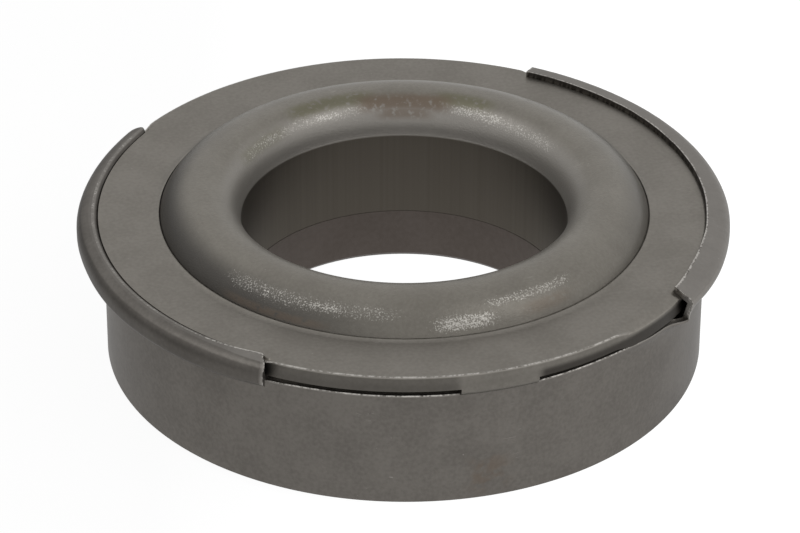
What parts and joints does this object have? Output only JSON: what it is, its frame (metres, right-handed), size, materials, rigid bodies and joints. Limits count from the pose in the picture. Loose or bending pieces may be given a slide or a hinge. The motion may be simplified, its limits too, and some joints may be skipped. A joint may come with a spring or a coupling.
{
  "type": "clutch release bearing",
  "caption": "Clutch release bearing: a domed thrust ring turning on balls in a pressed steel housing whose lips are crimped over a cover plate, round a central bore.",
  "frame": {"origin": "the bearing's axis at the seat face of the fixed race", "axes": "+Z along the axis towards the nose, +X through the middle of one crimped lip"},
  "size_m": [0.1, 0.0956, 0.0284],
  "materials": {
    "housing_steel": "dull phosphated sheet with bright sheared edges",
    "plate_steel": "dull phosphated plate",
    "ring_steel": "oiled forging skin with a fine sparkle",
    "race_steel": "turned and oiled",
    "cage_polyamide": "moulded polyamide",
    "seal_rubber": "matt",
    "ball_steel": "polished"
  },
  "bodies": {
    "stator": {"housing": "housing_steel", "cover_plate": "plate_steel", "grease_seal": "seal_rubber", "fixed_race": "race_steel"},
    "rotor": {"nose_ring": "ring_steel"},
    "cage": {"ball_cage": "cage_polyamide"},
    "ball_01_body": {"ball_01": "ball_steel"},
    "ball_02_body": {"ball_02": "ball_steel"},
    "ball_03_body": {"ball_03": "ball_steel"},
    "ball_04_body": {"ball_04": "ball_steel"},
    "ball_05_body": {"ball_05": "ball_steel"},
    "ball_06_body": {"ball_06": "ball_steel"},
    "ball_07_body": {"ball_07": "ball_steel"},
    "ball_08_body": {"ball_08": "ball_steel"},
    "ball_09_body": {"ball_09": "ball_steel"},
    "ball_10_body": {"ball_10": "ball_steel"},
    "ball_11_body": {"ball_11": "ball_steel"},
    "ball_12_body": {"ball_12": "ball_steel"},
    "ball_13_body": {"ball_13": "ball_steel"},
    "ball_14_body": {"ball_14": "ball_steel"},
    "ball_15_body": {"ball_15": "ball_steel"},
    "ball_16_body": {"ball_16": "ball_steel"},
    "ball_17_body": {"ball_17": "ball_steel"},
    "ball_18_body": {"ball_18": "ball_steel"},
    "ball_19_body": {"ball_19": "ball_steel"},
    "ball_20_body": {"ball_20": "ball_steel"}
  },
  "joints": [
    {"name": "nose_ring_spin", "type": "hinge", "parent": "stator", "child": "rotor", "pos_m": [0, 0, 0], "axis": [0, 0, 1], "continuous": true},
    {"name": "cage_orbit", "type": "hinge", "parent": "stator", "child": "cage", "pos_m": [0, 0, 0], "axis": [0, 0, 1], "continuous": true},
    {"name": "ball_01_roll", "type": "hinge", "parent": "cage", "child": "ball_01_body", "pos_m": [0.0383, 0, 0.0087], "axis": [1, 0, 0], "continuous": true},
    {"name": "ball_02_roll", "type": "hinge", "parent": "cage", "child": "ball_02_body", "pos_m": [0.03643, 0.01184, 0.0087], "axis": [0.9511, 0.309, 0], "continuous": true},
    {"name": "ball_03_roll", "type": "hinge", "parent": "cage", "child": "ball_03_body", "pos_m": [0.03099, 0.02251, 0.0087], "axis": [0.809, 0.5878, 0], "continuous": true},
    {"name": "ball_04_roll", "type": "hinge", "parent": "cage", "child": "ball_04_body", "pos_m": [0.02251, 0.03099, 0.0087], "axis": [0.5878, 0.809, 0], "continuous": true},
    {"name": "ball_05_roll", "type": "hinge", "parent": "cage", "child": "ball_05_body", "pos_m": [0.01184, 0.03643, 0.0087], "axis": [0.309, 0.9511, 0], "continuous": true},
    {"name": "ball_06_roll", "type": "hinge", "parent": "cage", "child": "ball_06_body", "pos_m": [0, 0.0383, 0.0087], "axis": [0, 1, 0], "continuous": true},
    {"name": "ball_07_roll", "type": "hinge", "parent": "cage", "child": "ball_07_body", "pos_m": [-0.01184, 0.03643, 0.0087], "axis": [-0.309, 0.9511, 0], "continuous": true},
    {"name": "ball_08_roll", "type": "hinge", "parent": "cage", "child": "ball_08_body", "pos_m": [-0.02251, 0.03099, 0.0087], "axis": [-0.5878, 0.809, 0], "continuous": true},
    {"name": "ball_09_roll", "type": "hinge", "parent": "cage", "child": "ball_09_body", "pos_m": [-0.03099, 0.02251, 0.0087], "axis": [-0.809, 0.5878, 0], "continuous": true},
    {"name": "ball_10_roll", "type": "hinge", "parent": "cage", "child": "ball_10_body", "pos_m": [-0.03643, 0.01184, 0.0087], "axis": [-0.9511, 0.309, 0], "continuous": true},
    {"name": "ball_11_roll", "type": "hinge", "parent": "cage", "child": "ball_11_body", "pos_m": [-0.0383, 0, 0.0087], "axis": [-1, 0, 0], "continuous": true},
    {"name": "ball_12_roll", "type": "hinge", "parent": "cage", "child": "ball_12_body", "pos_m": [-0.03643, -0.01184, 0.0087], "axis": [-0.9511, -0.309, 0], "continuous": true},
    {"name": "ball_13_roll", "type": "hinge", "parent": "cage", "child": "ball_13_body", "pos_m": [-0.03099, -0.02251, 0.0087], "axis": [-0.809, -0.5878, 0], "continuous": true},
    {"name": "ball_14_roll", "type": "hinge", "parent": "cage", "child": "ball_14_body", "pos_m": [-0.02251, -0.03099, 0.0087], "axis": [-0.5878, -0.809, 0], "continuous": true},
    {"name": "ball_15_roll", "type": "hinge", "parent": "cage", "child": "ball_15_body", "pos_m": [-0.01184, -0.03643, 0.0087], "axis": [-0.309, -0.9511, 0], "continuous": true},
    {"name": "ball_16_roll", "type": "hinge", "parent": "cage", "child": "ball_16_body", "pos_m": [0, -0.0383, 0.0087], "axis": [0, -1, 0], "continuous": true},
    {"name": "ball_17_roll", "type": "hinge", "parent": "cage", "child": "ball_17_body", "pos_m": [0.01184, -0.03643, 0.0087], "axis": [0.309, -0.9511, 0], "continuous": true},
    {"name": "ball_18_roll", "type": "hinge", "parent": "cage", "child": "ball_18_body", "pos_m": [0.02251, -0.03099, 0.0087], "axis": [0.5878, -0.809, 0], "continuous": true},
    {"name": "ball_19_roll", "type": "hinge", "parent": "cage", "child": "ball_19_body", "pos_m": [0.03099, -0.02251, 0.0087], "axis": [0.809, -0.5878, 0], "continuous": true},
    {"name": "ball_20_roll", "type": "hinge", "parent": "cage", "child": "ball_20_body", "pos_m": [0.03643, -0.01184, 0.0087], "axis": [0.9511, -0.309, 0], "continuous": true}
  ],
  "couplings": [
    {"joint": "cage_orbit", "follows": "nose_ring_spin", "ratio": 0.5},
    {"joint": "ball_01_roll", "follows": "nose_ring_spin", "ratio": -4.0316},
    {"joint": "ball_02_roll", "follows": "nose_ring_spin", "ratio": -4.0316},
    {"joint": "ball_03_roll", "follows": "nose_ring_spin", "ratio": -4.0316},
    {"joint": "ball_04_roll", "follows": "nose_ring_spin", "ratio": -4.0316},
    {"joint": "ball_05_roll", "follows": "nose_ring_spin", "ratio": -4.0316},
    {"joint": "ball_06_roll", "follows": "nose_ring_spin", "ratio": -4.0316},
    {"joint": "ball_07_roll", "follows": "nose_ring_spin", "ratio": -4.0316},
    {"joint": "ball_08_roll", "follows": "nose_ring_spin", "ratio": -4.0316},
    {"joint": "ball_09_roll", "follows": "nose_ring_spin", "ratio": -4.0316},
    {"joint": "ball_10_roll", "follows": "nose_ring_spin", "ratio": -4.0316},
    {"joint": "ball_11_roll", "follows": "nose_ring_spin", "ratio": -4.0316},
    {"joint": "ball_12_roll", "follows": "nose_ring_spin", "ratio": -4.0316},
    {"joint": "ball_13_roll", "follows": "nose_ring_spin", "ratio": -4.0316},
    {"joint": "ball_14_roll", "follows": "nose_ring_spin", "ratio": -4.0316},
    {"joint": "ball_15_roll", "follows": "nose_ring_spin", "ratio": -4.0316},
    {"joint": "ball_16_roll", "follows": "nose_ring_spin", "ratio": -4.0316},
    {"joint": "ball_17_roll", "follows": "nose_ring_spin", "ratio": -4.0316},
    {"joint": "ball_18_roll", "follows": "nose_ring_spin", "ratio": -4.0316},
    {"joint": "ball_19_roll", "follows": "nose_ring_spin", "ratio": -4.0316},
    {"joint": "ball_20_roll", "follows": "nose_ring_spin", "ratio": -4.0316}
  ]
}
